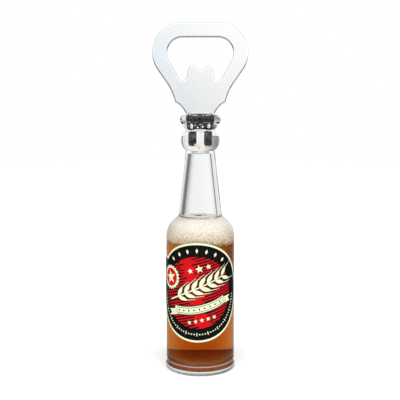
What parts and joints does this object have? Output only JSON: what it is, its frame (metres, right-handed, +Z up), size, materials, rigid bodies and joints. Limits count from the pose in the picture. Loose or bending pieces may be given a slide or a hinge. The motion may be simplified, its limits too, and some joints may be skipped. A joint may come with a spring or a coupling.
{
  "type": "bottle opener",
  "caption": "Souvenir bottle opener: a flat steel opener plate set in the neck of a clear miniature bottle of amber liquid and foam, with a round wrap label.",
  "frame": {"origin": "middle of the underside of the base", "axes": "+Z up the bottle's axis to the opener plate; the label and one face of the plate look along -Y, and the plate's width runs along X"},
  "size_m": [0.039, 0.0288, 0.142],
  "materials": {
    "steel": "bright plated steel with softly rounded edges",
    "resin": "clear cast resin with a few trapped bubbles",
    "clear_plastic": "clear thick-walled acrylic, glossy",
    "liquid": "clear amber liquid",
    "foam": "fine cream foam",
    "base_plastic": "clear acrylic, glossy",
    "bond": "clear adhesive stained brown",
    "stopper": "clear plastic stopper",
    "label": "glossy printed film in red, black and cream"
  },
  "bodies": {
    "root": {"opener_plate": "steel", "tang_resin": "resin", "bottle_shell": "clear_plastic", "liquid_fill": "liquid", "foam_head": "foam", "base_plug": "base_plastic", "base_bond": "bond", "filler_plug": "stopper", "bottle_label": "label"}
  },
  "joints": []
}
